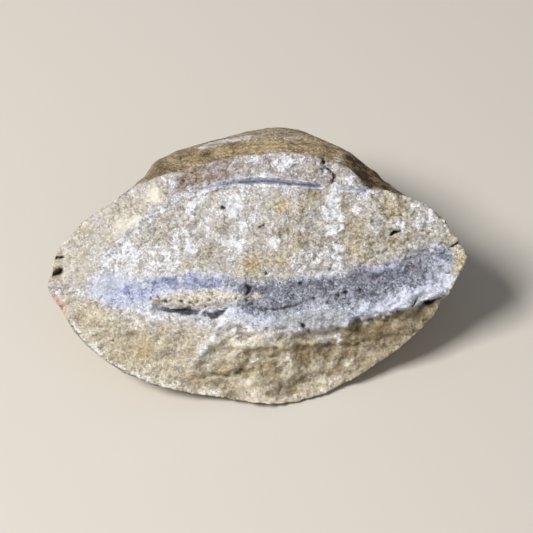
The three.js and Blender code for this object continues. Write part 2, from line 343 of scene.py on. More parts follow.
FISSURES = [
    # line, half width, depth
    ([(-19.4, -6.5), (-17.2, -6.8), (-14.6, -7), (-11.4, -7.1)], 0.54, 0.8),
    ([(-15.8, -7), (-13.6, -7.1), (-11.3, -7.2)], 0.66, 0.9),
    ([(-10.6, -7.4), (-8.6, -7.8), (-7.4, -7.5), (-6.1, -6.6)], 0.68, 1),
    ([(-2.6, -1.8), (-1.5, -2.6), (-1.9, -3.4), (-2.3, -4.4)], 0.42, 0.8),
    ([(-1.2, -2), (0.2, -3.2), (1.8, -4)], 0.2, 0.4),
    ([(-25.2, -2.3), (-24.9, -4.1), (-24.4, -4.8), (-23.7, -5.4)], 0.18, 0.5),
    ([(12.8, 21.6), (13.3, 20.5), (14.5, 19.7), (14.8, 18.9), (14.3, 17.8), (13.9, 16.6)], 0.18, 1),
    ([(37.1, 5.4), (38.3, 6), (40.2, 7)], 0.24, 1.2),
    ([(-41, 3.2), (-39.2, 3.4), (-37.2, 3.6)], 0.3, 1.6),
    ([(-41, 0), (-39.4, 0.3), (-37.7, 1)], 0.48, 2.4),
    ([(25.5, 7.3), (26.3, 8.2), (27.7, 8.5)], 0.36, 1.5),
    ([(30.9, -4.4), (30.3, -5.4), (29.4, -6.2)], 0.24, 0.8),
    ([(32, -5.4), (33.4, -5.2), (34.7, -4.7)], 0.38, 1.2),
    ([(12.6, -2.2), (13.2, -3.2), (12.4, -4.6)], 0.2, 0.4),
    ([(11.8, -0.8), (13.6, -1), (14.6, -1.9), (14.4, -3)], 0.45, 0.2),
    ([(-0.8, -6.2), (1.5, -6.7), (4.4, -6.5), (8.5, -5.4), (10.6, -4.6)], 0.28, 0.5),
]
SHADOWS = [
    # brown hollows, with painted shade: line, half width, depth
    ([(-2.1, -16.2), (-1.3, -14.9), (0.8, -14.7), (2.7, -14.1), (4.8, -13.8)], 0.65, 0.4),
    ([(6.8, -14.9), (8.1, -14.5), (10.4, -14.3), (11.8, -13.7), (17, -13.5)], 0.8, 0.3),
    ([(-12, -18.2), (-9.5, -18.9), (-6.4, -19.3), (-3.5, -18.6), (-2, -17.8)], 0.6, 0.35),
    ([(17.6, -8.6), (21.6, -7.9), (24.5, -7.3), (27.4, -6.6), (29.4, -6.2)], 0.5, 0.35),
    ([(31, -7.4), (32.1, -5.8), (33.2, -5.2)], 0.4, 0.5),
    ([(17.6, -14.2), (18.4, -12), (19.2, -9.4)], 1.1, 0.6),
]
CRESTS = [
    # pale ridges: line, half width, height
    ([(-4.5, -8.8), (-7.2, -9.4), (-8.3, -11.7), (-10.7, -13.1), (-11, -15.4), (-12.9, -16.6),
      (-13.2, -18.4)], 1.2, 0.12),
    ([(11.6, -12.6), (14.5, -12), (16.8, -12.6)], 0.45, 0.4),
    ([(0.8, -13.5), (2, -12.9), (3.3, -13.2)], 0.5, 0.2),
    ([(-33.6, -7.2), (-30.2, -7.3)], 0.16, 0.1),
    ([(5.8, -14.3), (6.2, -15.9), (6.7, -18)], 0.36, 0.3),
    ([(-1.8, -17), (0.5, -16.4), (2.7, -15.9)], 0.6, 0.3),
    ([(28.5, -4.4), (31, -3.4), (34, -2.4)], 0.5, 0.3),
    ([(32.5, 0.6), (35, 1.6), (36.6, 2.6)], 0.5, 0.3),
]

# spots: across, up, radius, and depth in mm or strength
NOTCHES = [
    # gaps in the rim
    (-40.2, 3.4, 0.5, 1.6), (-40.1, 0.8, 0.75, 1.9), (-34, 10.4, 1.3, -0.5), (39.6, 6.4, 0.5, 1),
    (34.6, 11.6, 0.8, 0.6), (37.8, 8.2, 0.8, 0.6), (36.2, -5.6, 0.9, 0.9),
]
PITS = [
    (-6.8, 12.9, 0.42, 1), (0.4, 9.3, 0.32, 0.9), (1.2, 9.7, 0.32, 0.9), (8.8, -9.8, 0.4, 1.1),
    (-7.2, -10.4, 0.3, 0.6), (-38.4, 0.7, 0.7, 1.4), (12.7, 21.9, 0.45, 1.1), (8.1, -1.6, 0.4, 0.7),
    (10.7, -4.4, 0.4, 0.7), (15.6, -4.1, 0.35, 0.8), (16.9, -3.3, 0.4, 0.9), (19.7, -2.9, 0.35, 0.7),
    (13.3, -5.4, 0.3, 0.6), (1.6, 0.4, 0.35, 0.6), (2.7, -0.4, 0.25, 0.6), (-3, -6.3, 0.35, 0.6),
]
PORES = [
    # of the ochre patch
    (-20.7, -4.4, 0.28, 0.6), (-17.8, -5, 0.34, 0.8), (-14.9, -5, 0.3, 0.7), (-12.9, -5.4, 0.34, 0.8),
    (-12.4, -5.9, 0.28, 0.6), (-11.6, -5, 0.28, 0.6), (-10.2, -6, 0.26, 0.6), (-9.5, -4.8, 0.28, 0.6),
    (-8.9, -3.7, 0.26, 0.6), (-13.5, -4.1, 0.24, 0.5), (-4.3, -4.5, 0.3, 0.6), (-2.2, -5, 0.34, 0.7),
    (-1, -5.4, 0.28, 0.6), (-19.2, -4.2, 0.24, 0.5),
]
OCHRE_SPOTS = [
    (-0.4, 2.6, 2.2, 1.1), (-2.2, 1.6, 1.6, 0.7), (4.2, 3, 2, 0.6), (4.4, 13.5, 1.4, 1.1),
    (7.9, 13.3, 1.2, 1), (11, 14.5, 1.6, 0.5), (24.5, 15.3, 1.1, 0.9), (26.5, 13.1, 2.2, 0.5),
    (16.6, 6.4, 1, 0.8), (18.6, 5.4, 0.8, 0.6), (7.5, 4.2, 0.8, 0.8), (7.1, 6.4, 1.2, 0.5),
    (19.6, 8.7, 3, 0.4), (20.3, 3.7, 2, 0.5), (26.7, 6.4, 1.6, 0.5), (-21.6, -13.6, 1.4, 0.8),
    (-32, -8.4, 2.2, 0.3), (-23, -15, 2.4, 0.5), (-33.8, 9.8, 1.1, 0.8), (-10.4, 4.1, 0.6, 0.9),
    (-13.7, 1.7, 1.6, 0.6), (-5, -17.6, 1.6, 0.7), (8.5, -15.4, 1.8, 0.6), (-12, -19.8, 1.5, 0.5),
    (1.5, -17.2, 2, 0.5), (-2, -20.8, 1.6, 0.4), (23, -9.4, 4, 0.4), (38.8, 3, 1.4, 0.2),
    (19.4, 18.4, 0.6, 0.8), (20.4, 17.6, 0.5, 0.8),
]
CREAM_SPOTS = [
    (-25.4, 9.9, 2.4, 0.7), (-27.5, 9.4, 1.4, 0.7), (-20.4, 15.4, 2.2, 0.6), (-37.3, 6.4, 1.4, 0.9),
    (-33.8, 9.8, 1.5, 0.8), (-16.4, 1.9, 2.4, 1.1), (-0.5, 1.6, 2, 0.5), (-20, -12.8, 1.4, 0.7),
    (12.6, -20.9, 1.1, 1.2), (17.5, -17.2, 1.2, 0.9), (24.5, -16.4, 1.4, 0.8), (-36, 2.5, 2, 0.4),
    (-5.8, -11.4, 3.2, 1.7), (-9, -13.6, 2.8, 1.2), (-0.5, -12, 2.4, 1.4), (4, -22.2, 1.8, 1.2),
    (-2.5, -21.6, 1.8, 0.6), (-5, -15, 1.2, 0.6), (-31.5, -6.9, 2, 0.4), (34.6, 7.8, 1.1, 1.1),
    (0.5, -16.2, 1.2, 0.6), (9.6, -11, 1, 0.6), (15.2, -4.3, 0.5, 1.2), (-4.8, -4.6, 1.2, 0.8),
]
WHITE_CHIPS = [
    # solid patches of white
    (-13.6, 8, 1, 1), (-13.2, 5.3, 1, 1.1), (-18.4, 4.4, 0.7, 1), (-4, 6.1, 1.4, 1.1), (-5.6, 6.4, 0.9, 0.9),
    (-2.7, 9.1, 0.7, 1), (-4.6, 14.4, 1, 0.9), (-5.2, 12.6, 1, 0.9), (-10.4, 10.2, 0.8, 0.9),
    (-24, 1.9, 0.8, 0.9), (-25.9, 2.7, 0.7, 0.9), (14.3, 14.4, 0.9, 1.1), (14.2, 12.9, 0.9, 1.1),
    (13.4, 11.5, 1, 1.1), (15.8, 11.4, 1, 1), (18.9, 12.8, 0.9, 1), (15.6, 8.8, 0.9, 1), (14, 8.4, 0.8, 0.9),
    (27.4, 9.9, 0.7, 1), (15.2, 4.6, 1.2, 0.9), (8.3, 9.3, 0.6, 1), (3, 6.9, 1, 0.8), (22.3, 16.2, 0.8, 0.8),
    (-7, -9.2, 1, 1), (-5.6, -9.8, 1, 1), (6.2, -16, 0.5, 1), (15.6, -12.1, 0.7, 1.1),
    (13.2, -12.4, 0.7, 1.1), (3.4, 21.4, 0.9, 0.8),
]
CREAM_CHIPS = [
    # solid patches of cream
    (-19.8, 16.4, 0.7, 1), (-20.6, 15, 0.9, 1.1), (-19.2, 14.1, 0.7, 1), (-25, 10.3, 0.9, 1),
    (-26.8, 9.5, 1, 1), (-23.2, 11, 0.8, 1), (-28.1, 11.2, 0.5, 1), (-33.8, 9.8, 0.7, 0.9),
    (34.6, 7.8, 0.9, 1), (-4.8, -12.6, 1, 0.9), (17.6, -17.4, 0.9, 0.9), (12.7, -20.9, 0.9, 1),
    (-28.8, -9.8, 0.7, 0.9), (-2, -21.4, 1.1, 0.8),
]
FROST_SPOTS = [
    # looser frosting
    (-13.5, 7, 2, 0.5), (-4.4, 6.8, 2.4, 0.5), (-5, 13.6, 2, 0.5), (-24.6, 3, 2.4, 0.4),
    (14.4, 12.4, 2, 0.6), (15.4, 6.6, 2.4, 0.4), (9, 3, 2.6, 0.3), (13.5, 4.4, 2.8, 0.35),
    (19, 4.6, 2.6, 0.35), (0, 16.6, 0.6, 0.9), (20.3, 15.4, 0.9, 0.9), (-6.4, -9.6, 2.2, 0.7),
    (-3, -11, 3.2, 0.7), (-9, -13.6, 2.6, 0.35), (-16.8, -9, 3.2, 0.5), (-11, -9.6, 2.4, 0.5),
    (-12.6, -12, 1.2, 0.6), (-23.5, -8.2, 1.8, 0.7), (-21, -8.8, 1.2, 0.6), (-33, -14.5, 1.5, 0.3),
    (5.8, 22, 3, 0.7), (-6.4, 20.2, 2.2, 0.4), (14, -13, 1, 0.5), (-30.5, -2.6, 2.2, 0.4),
    (18, 17.8, 1.5, 0.6), (33.2, 9.8, 1.4, 0.5), (-4.5, -12, 1, 0.6), (9.6, 6, 0.6, 0.8),
    (-9, 0.8, 1.6, 0.3),
]
CLEAR_SPOTS = [
    # where the stone is clear of frosting, and darker
    (16.5, 12.9, 1.3, 1), (17.2, 13.4, 0.8, 0.8), (11.2, 12.2, 1.4, 1.1), (8.6, 12, 1.4, 0.9),
    (-38.6, -1.5, 2, 0.5), (9.4, 9.5, 1.6, 0.9), (28.5, 7, 2.4, 0.2), (9.3, 5.2, 1.1, 0.8), (15, 6.2, 1, 1),
    (25.3, 11.6, 1.3, 0.8), (22, 6.2, 1.6, 0.5), (24.5, 7.7, 1, 0.7), (11, 14.9, 0.8, 0.9),
    (-20, 8.5, 1.3, 0.8), (-21.6, 2, 1.2, 0.7), (-8.8, 5, 1.9, 0.7), (-6.4, 8.7, 1.6, 0.7),
    (-1.8, 5, 1, 0.6), (1.4, 8.5, 1.7, 0.7), (5.5, 8.5, 1.2, 0.6), (-16.8, 13.2, 0.9, 0.6),
    (-12.6, -13.2, 1.4, 0.4), (14, 1.2, 1.3, 0.6), (9.5, 17, 1.6, 0.9), (12, 15.6, 1.6, 0.9),
    (22.5, 15.6, 1.5, 0.8), (17, 16, 1, 0.5), (-15.8, -11.8, 2, 0.5), (-35.5, -8.5, 2.2, 0.5),
    (-20.4, -10.7, 1, 0.6), (-29.6, 12.6, 1.2, 0.4), (-10.2, 1, 1.4, 0.5), (18.4, 0.6, 1.2, 0.4),
    (-3.6, 1, 1, 0.3),
]
RECESS_SPOTS = [
    # brown hollows under the ledges: brown stone with painted shade
    (19.2, -11.6, 1.8, 0.8), (27, -9.8, 1.8, 0.8), (23, -8.4, 2.6, 0.5), (33.8, -6.4, 1.4, 0.8),
    (8.2, -15.2, 2.2, 0.7), (13, -15, 2.4, 0.7), (17, -14.8, 2.2, 0.6), (-13, -15, 1.6, 0.5),
    (-5.6, -16.2, 1.9, 0.5), (-8.6, -17.4, 1.6, 0.3), (-2.4, -15.4, 1.1, 0.7), (-9.5, -11, 0.6, 0.3),
    (27.4, -12, 2.4, 0.7), (24, -13.8, 1.8, 0.7), (19.5, -15.8, 3, 0.7), (4.5, -18.6, 1.4, 0.5),
    (10.5, -17, 2.2, 0.4), (10.2, -10.6, 1.6, 0.4), (1, -20.4, 1.6, 0.3),
]
# dark patches on the dome, with painted shade where it turns away at its right end
DOME_DARK_SPOTS = [
    (17.6, 23, 1, 0.8), (19.2, 21.6, 1.6, 1), (21.5, 20, 2, 1.4), (24, 18.4, 2.4, 1.7),
    (26.5, 17.4, 2.6, 1.7), (30, 15.8, 2.6, 1.6), (-19.5, 20.4, 2.6, 0.5), (-14.5, 22.6, 2.6, 0.5),
    (-10, 23.4, 1.4, 0.7), (-6, 26.2, 2, 0.3),
]
DOME_PALE_SPOTS = [
    (3, 28.3, 2.4, 0.8), (8, 27.8, 2.4, 0.6), (12.5, 25.8, 1.4, 0.4), (15.8, 22.7, 1.3, 0.8),
    (-15, 22.8, 1.4, 0.5), (-19.5, 19.6, 1.4, 0.4),
]
DOME_OCHRE = [(-14, 23), (-5, 25), (4, 25.8), (12, 25), (17, 23)]
# where the painted highlight runs along the dome's top edge
DOME_STREAK = [(-10.8, 25.2), (-5.2, 26.9), (0.6, 27.9)]
DOME_DIP = -19.3  # where the dome's outline dips


# ---- the fine relief and the markings of the break
def survey(u, v, share, p):
    """The points of the break and the noises at them. x, y and level are u and v with a sway, which gives
    what they bound a wavy border. inset is how far inside the rim each point is, in mm."""
    sway = 1.2 * fractal(p, 3.2, 3, 2)
    wander = 0.8 * fractal(p, 3.2, 3, 1)
    flat = in_plane(u, v)
    return SimpleNamespace(
        u=u, v=v, x=u + sway, y=v + wander, level=v + 0.4 * wander, flat=flat,
        inset=np.hypot(u, v) * (1 / np.maximum(share, 0.01) - 1),
        patches=fractal(p, 2.4, 3, 19), broad=fractal(p, 4.5, 3, 5), rough=fractal(p, 1.3, 3, 6),
        big=cells(flat + 0.5 * sway[:, None], 2.6, 7),
        coarse=cells(flat, 1.35, 3), fine=cells(flat, 0.62, 4),
    )


def soft_lines(n, lines):
    """The relief in mm of soft-edged lines, and how near each point is to one of them, from 0 to 1."""
    relief = np.zeros_like(n.u)
    nearest = np.zeros_like(n.u)
    for line, half_width, size in lines:
        distance, place = reach(line, n.u + 0.5 * n.rough, n.v + 0.4 * n.broad)
        near = gauss(distance / half_width) * np.clip(6 * place * (1 - place) + 0.2, 0, 1)
        relief += size * near
        nearest = np.maximum(nearest, near * rise(near + 0.6 * n.patches, 0.1, 0.9))
    return relief, nearest


def inside(n, top, foot, soft):
    """1 between two lines across the break and 0 well outside them."""
    return rise(along(top, n.x) - n.y, -soft, soft) * rise(n.y - along(foot, n.x), -soft, soft)


def torn(n, marking, share, low, high):
    """The marking with its borders torn into patches."""
    return rise(marking + share * n.patches, low, high) * rise(marking, 0, 0.3)


def band_zones(n, crest):
    """The blue-grey band, and its azure, slate, dim and deepest parts."""
    u, v, x, y = n.u, n.v, n.x, n.y
    blue = inside(n, BLUE_TOP, BLUE_FOOT, 1.6) * between(x, *BLUE_SPAN)
    azure = torn(n, inside(n, AZURE_TOP, AZURE_FOOT, 1) * between(x, *AZURE_SPAN), 0.7, 0.2, 0.9)
    azure *= 1 - 0.2 * rise(-x, 21, 24)
    azure = np.maximum(azure, 0.55 * streak(AZURE_STREAK, 1.4, x, y))
    slate = torn(n, inside(n, SLATE_TOP, SLATE_FOOT, 2.4) * between(x, *SLATE_SPAN), 0.5, 0.1, 1)
    slate = np.maximum(slate, 0.65 * between(x, *SLATE_NECK_SPAN) * inside(n, BLUE_TOP, PATCH_TOP, 1))
    slate = np.maximum(slate, 0.85 * streak(SLATE_STREAK, 2, x, y) * (0.8 + 0.4 * n.patches))
    slate *= 1 - 0.8 * crest
    dim = blue * rise(along(SLATE_FOOT, x) - y, -1, 1.5) * rise(u, -10, 0)
    dim *= 1 - 0.8 * rise(u, 14, 22)
    dim = np.maximum(dim, blue * blot(u - 31, v - 3, 4.5))
    dim = np.maximum(dim, 0.7 * blue * blot(u + 22.5, 1.5 * (v + 4.6), 3))
    deep = slate * gauss((y - along(SLATE_TOP, x) + 1.5) / 1.7)
    return blue, azure, slate, dim, deep


def patch_zone(n):
    """The porous ochre patch in the left half of the band."""
    patch = rise(along(PATCH_TOP, n.u) - n.level, -0.5, 0.5)
    patch *= rise(n.level - along(PATCH_FOOT, n.u), -0.3, 0.3) * between(n.u + n.broad, *PATCH_ENDS)
    return np.maximum(patch, 0.9 * between(n.x, *PATCH_TAIL_SPAN) * gauss(n.y - PATCH_TAIL_HEIGHT))


def strip_zones(n):
    """The blue line under the cap, its pale left end, how far above it each point is, and its half width."""
    u, broad, rough = n.u, n.broad, n.rough
    distance, _ = reach(STRIP, u, n.v)
    above = n.v - along(STRIP, u)
    wide = rise(u, -15, -6) * (0.55 + 0.45 * gauss((u - 2) / 8)) * (1 - 0.6 * rise(u, 9, 13))
    half = 0.26 + 0.34 * wide
    strip = fall(distance + 0.2 * rough, half - 0.2, half + 0.3)
    strip *= fall(u + 2 * rough, 10.5, 13)
    dark_line = gauss((above + 0.25 * half + 0.1 * rough) / 0.2) * between(u + 2 * broad, -2, 11, 5)
    strip *= 0.24 + 0.42 * rise(u + 3 * broad, -13, -4) + 0.36 * dark_line
    strip = np.maximum(strip, 0.5 * streak(FAR_STRIP, 0.5, n.x, n.y))
    pale = fall(distance + 0.4 * rough, 0.3, 1.4) * fall(u, -14, -6)
    return strip, pale, above, half


def recess_zone(n, under_band, groove):
    """The brown hollows below the band: brown stone with painted shade, under the ledges and more towards
    the right.
    """
    u, x, y = n.u, n.x, n.y
    recess = rise(along(UPPER_LEDGE, u) - n.v + 1.2 * n.rough, 0.1, 1.2) * rise(u, 13, 20)
    recess = np.maximum(recess, 0.5 * rise(under_band, 2, 5) * rise(u, -4, 10))
    recess *= 1 - 0.55 * rise(along(LOWER_LEDGE, x) - y, -1, 1.5)
    return np.maximum.reduce([
        recess, groove, blots(RECESS_SPOTS, x, y),
        0.6 * rise(under_band, 0, 2) * rise(u, 10, 20),
        0.7 * rise(under_band, 0, 1.5) * rise(u, 22, 30),
    ])


def break_zones(n):
    """Where each part of the break lies, from 0 to 1, and the relief in mm that goes with some of them."""
    u, v, x, y = n.u, n.v, n.x, n.y
    z = SimpleNamespace()
    z.ridges, z.crest = soft_lines(n, CRESTS)
    z.grooves, groove = soft_lines(n, SHADOWS)
    z.blue, z.azure, z.slate, z.dim, z.deep = band_zones(n, z.crest)
    z.blob = z.blue * fall(u, -25, -20)
    z.patch = patch_zone(n)
    z.strip, z.pale_strip, above_strip, half = strip_zones(n)
    z.over_strip = above_strip + half  # how far each point is above the strip's lower edge, in mm

    z.cap = rise(y - along(STRIP, x), 0.1, 1.6) * between(x, *CAP_SPAN)
    z.cap = np.maximum(z.cap, between(x, *BLOCK_TOP_SPAN) * rise(y, 16, 17.2))
    z.dusk = between(x, *DUSK_SPAN) * fall(n.inset + 0.7 * n.rough, 2.5, 6) * rise(v, 8, 14)
    z.outer = rise(above_strip, 0, 1) * fall(u, -20, -10)
    under_band = along(BLUE_FOOT, x) - y
    z.low = rise(under_band, 0, 1.5)
    z.inner = (1 - z.outer) * (1 - z.cap) * (1 - z.low) * (1 - z.blue)
    z.tanned = z.low * (0.3 + 0.7 * rise(under_band + 0.8 * n.patches, 0.8, 3.5))
    z.clear = 1.2 * blots(CLEAR_SPOTS, x, y)

    # the lower part is broken into chunks along slanting beds, with painted shade in their low parts
    z.slanted = v - 0.22 * u
    z.chunk = 1.4 * fractal(in_plane(u, 1.5 * z.slanted), 2.4, 3, 23)
    z.recess = recess_zone(n, under_band, groove)
    z.chunky = np.maximum(z.low * (0.45 + 0.55 * rise(u, -14, -3)), 0.7 * z.recess)
    z.recess = np.maximum(z.recess, 0.55 * z.chunky * rise(-z.chunk, 0, 0.6))
    return z


def break_grain(n, z):
    """The fine relief of the break in mm, but for its cracks and pits."""
    u, v = n.u, n.v
    _, own, _ = n.coarse
    edge = 1.6 * fractal(n.flat, 2, 3, 18)

    def step(line, soft, sharp):
        """What makes a ledge of the part's source as sharp as a broken edge."""
        under = along(line, u) - v
        return rise(under + edge - 0.4, -sharp, sharp) - rise(under, -soft, soft)

    rugged = (0.55 + 0.45 * rise(u, 4, 18)) * (1 - 0.3 * z.outer) * (1 - 0.4 * z.cap) * (1 - z.strip)
    rugged *= (1 - 0.4 * z.blob) * (1 - 0.4 * z.chunky)
    w = rugged * (grain(n.coarse, 0.1, 0.14, 0.34) + grain(n.fine, 0.05, 0, 0.24))
    w += rugged**2 * (1 - 0.4 * z.low) * grain(n.big, 0, 0.08, 0.12)
    w += 0.2 * n.rough * (1 - 0.7 * z.strip) + 0.16 * n.broad
    w += z.low * 0.34 * lumps(u / 3.2, z.slanted / 1.5, 9.5)
    w += z.low * 0.16 * lumps(u / 1.5, z.slanted / 0.9, 3.5)
    w += 0.5 * z.chunky * z.chunk + z.ridges - z.grooves - 0.6 * on_spur(u, v)
    w += 0.35 * z.blue * rise(u, 14, 26) * lumps((u + 0.5 * v) / 3.2, (v - 0.45 * u) / 0.9, 2.5)
    w += z.recess * grain(n.big, 0, 0.12, 0.15)
    w -= upper_drop(u) * step(UPPER_LEDGE, UPPER_LEDGE_SOFT, 0.5)
    w -= lower_drop(u) * step(LOWER_LEDGE, LOWER_LEDGE_SOFT, 0.7)
    w -= 0.3 * z.strip * rise(u, -20, -8)
    w += 0.12 * gauss((z.over_strip + 0.3) / 0.25) * between(u, -12, 10, 3)
    return w + 0.25 * z.cap * (own - 0.3)


def cracks(n, patch):
    """How deep the cracks, pits and pores are in mm, and how dark the painted shade in them is, from 0 to 1.
    """
    jag_u = 0.34 * fractal(n.flat, 0.7, 2, 9)
    jag_v = 0.34 * fractal(n.flat, 0.7, 2, 10)
    pores = patch * rise(fractal(n.flat, 0.75, 2, 8), 0.45, 0.7)
    relief = 0.5 * pores
    shade = 0.6 * pores
    for line, half_width, depth in FISSURES:
        distance, place = reach(line, n.u + jag_u, n.v + jag_v)
        taper = np.sqrt(np.clip(4 * place * (1 - place), 0.12, 1))
        near = gauss((distance / (half_width * taper * (1 + 0.4 * n.broad))) ** 1.4)
        relief += depth * taper * near
        shade = np.maximum(shade, near * taper * min(1, 0.4 + 0.5 * depth))
    for pit_u, pit_v, radius, depth in PITS + PORES:
        near = gauss((np.hypot(n.u - pit_u + jag_u, n.v - pit_v + jag_v) / radius) ** 1.5)
        relief += depth * near
        shade = np.maximum(shade, near * min(1, 0.3 + 0.6 * depth))
    return relief, shade


def frosting(n, z, ochre):
    """How thickly white frosting lies on the break."""
    u, v = n.u, n.v
    _, own, _ = n.big
    chips = (own - 0.5) * rise(u, 2, 12)
    frost_and_highlight = z.inner * (0.46 + 0.1 * rise(-u, 8, 16) + 0.4 * chips)
    frost_and_highlight += 0.3 * z.outer + 0.32 * z.low + 0.42 * z.cap + z.blue * (0.36 - 0.15 * rise(u, 20, 26))
    frost_and_highlight += 0.35 * gauss((n.inset - 0.6) / 0.8) * rise(-v, 6, 10) * rise(-u, 2, 8)
    frost_and_highlight += 0.6 * gauss((z.over_strip + 0.35) / 0.22) * between(u, -12, 5, 3)
    frost_and_highlight += 0.6 * blots(FROST_SPOTS, n.x, n.y) + 0.2 * z.crest + 0.28 * z.pale_strip
    frost_and_highlight -= 0.25 * z.azure + 0.6 * z.slate + 0.2 * z.deep + 0.3 * z.dim + 0.1 * z.patch
    frost_and_highlight -= 0.3 * z.recess + 0.3 * z.dusk + 0.4 * z.clear
    return frost_and_highlight * (1 - z.strip) - 0.35 * ochre


def yellowing(n, z, ochre):
    """How yellow the stone of the break is."""
    warm = 0.25 * z.outer + z.inner * (-0.08 + 0.23 * rise(n.u, -2, 8)) + 0.3 * z.recess
    warm += 0.6 * z.tanned * (1 - 0.6 * z.crest) * (1 - 0.6 * z.clear) + 0.35 * z.patch + 1.1 * ochre
    warm += 0.6 * rise(n.x, 36, 38) + 0.3 * rise(-n.x, 36, 39)
    return warm * (1 - 0.8 * z.blue * (1 - z.patch)) * (1 - z.strip)


def dark_skin_and_shade(n, deep):
    """The thin dark outer layer of the shell left along parts of the rim, the darkest parts of the band, and
    painted shade in a dark gap of the band.
    """
    u, v = n.u, n.v
    skin_and_shade = fall(n.inset + 0.25 * n.rough, 0.15, 0.6) * rise(n.broad, -0.5, 0.1)
    skin_and_shade *= np.maximum(rise(-u, 0, 8) * rise(-v, 4, 8), 0.7 * rise(v, 7, 10))
    skin_and_shade *= 1 - between(u, -18, -2, 1)
    # with painted shade in a dark gap of the band
    return np.maximum.reduce([skin_and_shade, 0.8 * deep, 0.6 * blot(u + 1, v + 4.8, 2.2)])


def paint_break(u, v, share, p):
    """The fine relief of the break in mm, and its markings, each from 0 to 1."""
    n = survey(u, v, share, p)
    z = break_zones(n)
    depth, shade = cracks(n, z.patch)
    w = break_grain(n, z) - depth
    ochre = blots(OCHRE_SPOTS, n.x, n.y)
    chip_u = u + 1.5 * fractal(n.flat, 1.9, 4, 25)
    chip_v = v + 1.5 * fractal(n.flat, 1.9, 4, 26)
    cream = 0.35 * z.outer + 0.22 * z.low * (1 - z.recess) + 0.9 * z.patch + 1.1 * z.crest
    cream += 0.6 * blots(CREAM_SPOTS, n.x, n.y) + 0.45 * z.chunky * rise(z.chunk, 0.1, 0.6)
    mauve = (z.cap + 0.4 * blot(n.x + 13, n.y - 17.5, 3)) * (1 - z.dusk)
    pink = between(u, *PINK_SPAN) * fall(n.inset + 0.5 * n.rough, 1.1, 2) * rise(-v, 0, 5)
    return w, {
        "blue": z.blue * (1 - 0.9 * z.patch),
        "dim": z.dim,
        "azure": z.azure * (1 - z.patch),
        "slate": z.slate * (1 - 0.8 * z.patch),
        "strip": z.strip,
        "skin_and_shade": dark_skin_and_shade(n, z.deep),
        "frost_and_highlight": frosting(n, z, ochre),
        "warm": yellowing(n, z, ochre),
        "cream": cream,
        "mauve": np.maximum(mauve, 0.8 * blot(u + 39.5, v + 2, 1.8)),
        "pink": pink,
        "stain": 1.2 * blot((u + 38.6 + 0.35 * (v + 5)) / 0.7, (v + 5.2) / 2, 1),
        "dusk": z.dusk,
        # the hollows: brown stone with painted shade
        "recess": z.recess,
        "clear": z.clear * (1 - z.patch),
        "white_chip_and_highlight": 1.3 * blots(WHITE_CHIPS, chip_u, chip_v) * (1 - z.strip),
        "cream_chip": 1.1 * blots(CREAM_CHIPS, chip_u, chip_v),
        "shade": shade,
        # darker where the fine relief lies low: painted shade in the hollows
        "hollow": np.clip(0.5 - 0.9 * (w - 0.1 * n.broad), 0, 1),
        "coarse": np.maximum(z.chunky, 0.8 * z.inner * rise(u, 2, 12)),
        "soft": np.maximum.reduce([z.chunky, z.recess, 0.6 * z.outer, z.blob]),
    }


# ---- directions, rim and shell
RIGHT = np.array([1, 0, 0])
FACE_UP = np.array([0, math.sin(FACE_LEAN), math.cos(FACE_LEAN)])
INWARD = np.array([0, math.cos(FACE_LEAN), -math.sin(FACE_LEAN)])
BACK = np.array([0, 1, 0])
DOWN = np.array([0, 0, -1])


def on_face(u, v, out):
    return FACE_CENTRE + np.outer(u, RIGHT) + np.outer(v, FACE_UP) - np.outer(out, INWARD)


def unit(vectors):
    return vectors / np.linalg.norm(vectors, axis=1)[:, None]


def make_rim():
    """A centripetal Catmull-Rom curve through the points of the rim, as evenly spaced points."""
    steps = 240
    t = np.arange(steps)[:, None] / steps
    pieces = []
    for i in range(len(RIM)):
        p0, p1, p2, p3 = (RIM[(i + k) % len(RIM)] for k in (-1, 0, 1, 2))
        d0, d1, d2 = (math.sqrt(np.linalg.norm(b - a)) for a, b in ((p0, p1), (p1, p2), (p2, p3)))
        m1 = ((p1 - p0) / d0 - (p2 - p0) / (d0 + d1) + (p2 - p1) / d1) * d1
        m2 = ((p2 - p1) / d1 - (p3 - p1) / (d1 + d2) + (p3 - p2) / d2) * d1
        pieces.append(p1 + m1 * t + (3 * (p2 - p1) - 2 * m1 - m2) * t**2 + (2 * (p1 - p2) + m1 + m2) * t**3)
    points = np.concatenate(pieces + [RIM[:1]])
    length = np.concatenate([[0], np.cumsum(np.linalg.norm(np.diff(points, axis=0), axis=1))])
    return points, length


RIM_POINTS, RIM_LENGTH = make_rim()


def rim_at(s):
    where = np.mod(s, 1) * RIM_LENGTH[-1]
    return (np.interp(where, RIM_LENGTH, RIM_POINTS[:, axis]) for axis in (0, 1))


def bezier(a, b, c, d, t):
    r = 1 - t
    return r**3 * a + 3 * r * r * t * b + 3 * r * t * t * c + t**3 * d


